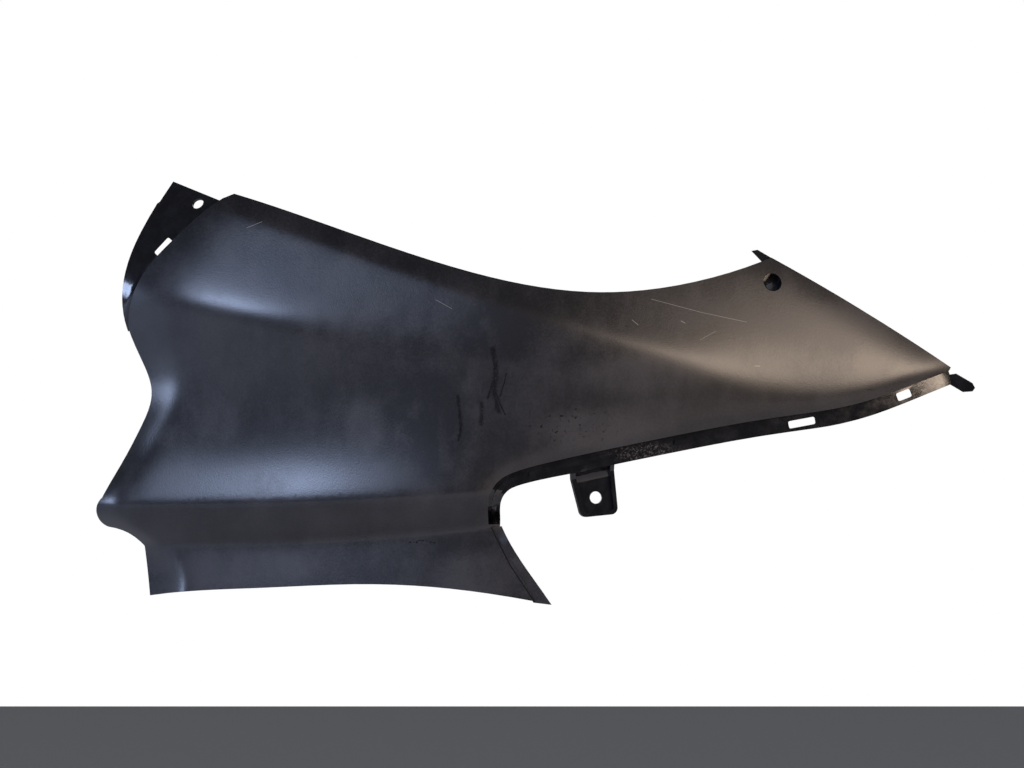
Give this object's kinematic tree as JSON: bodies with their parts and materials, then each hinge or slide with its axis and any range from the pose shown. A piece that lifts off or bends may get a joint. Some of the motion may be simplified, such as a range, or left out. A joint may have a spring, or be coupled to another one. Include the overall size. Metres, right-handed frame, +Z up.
{
  "type": "scooter rear side panel",
  "caption": "Moulded rear side panel of a scooter: creased skin with a recessed lower rail, a screw tab, a corner flange, a tail tongue and a stepped skirt.",
  "frame": {"origin": "centre of the screw hole in the lower tab, halfway through the tab's wall", "axes": "+X towards the tail, +Z up, -Y out of the etched outer face, as the panel sits on the scooter"},
  "size_m": [0.5745, 0.0952, 0.2757],
  "materials": {
    "side_panel": "satin"
  },
  "bodies": {
    "root": {"side_panel": "side_panel"}
  },
  "joints": []
}
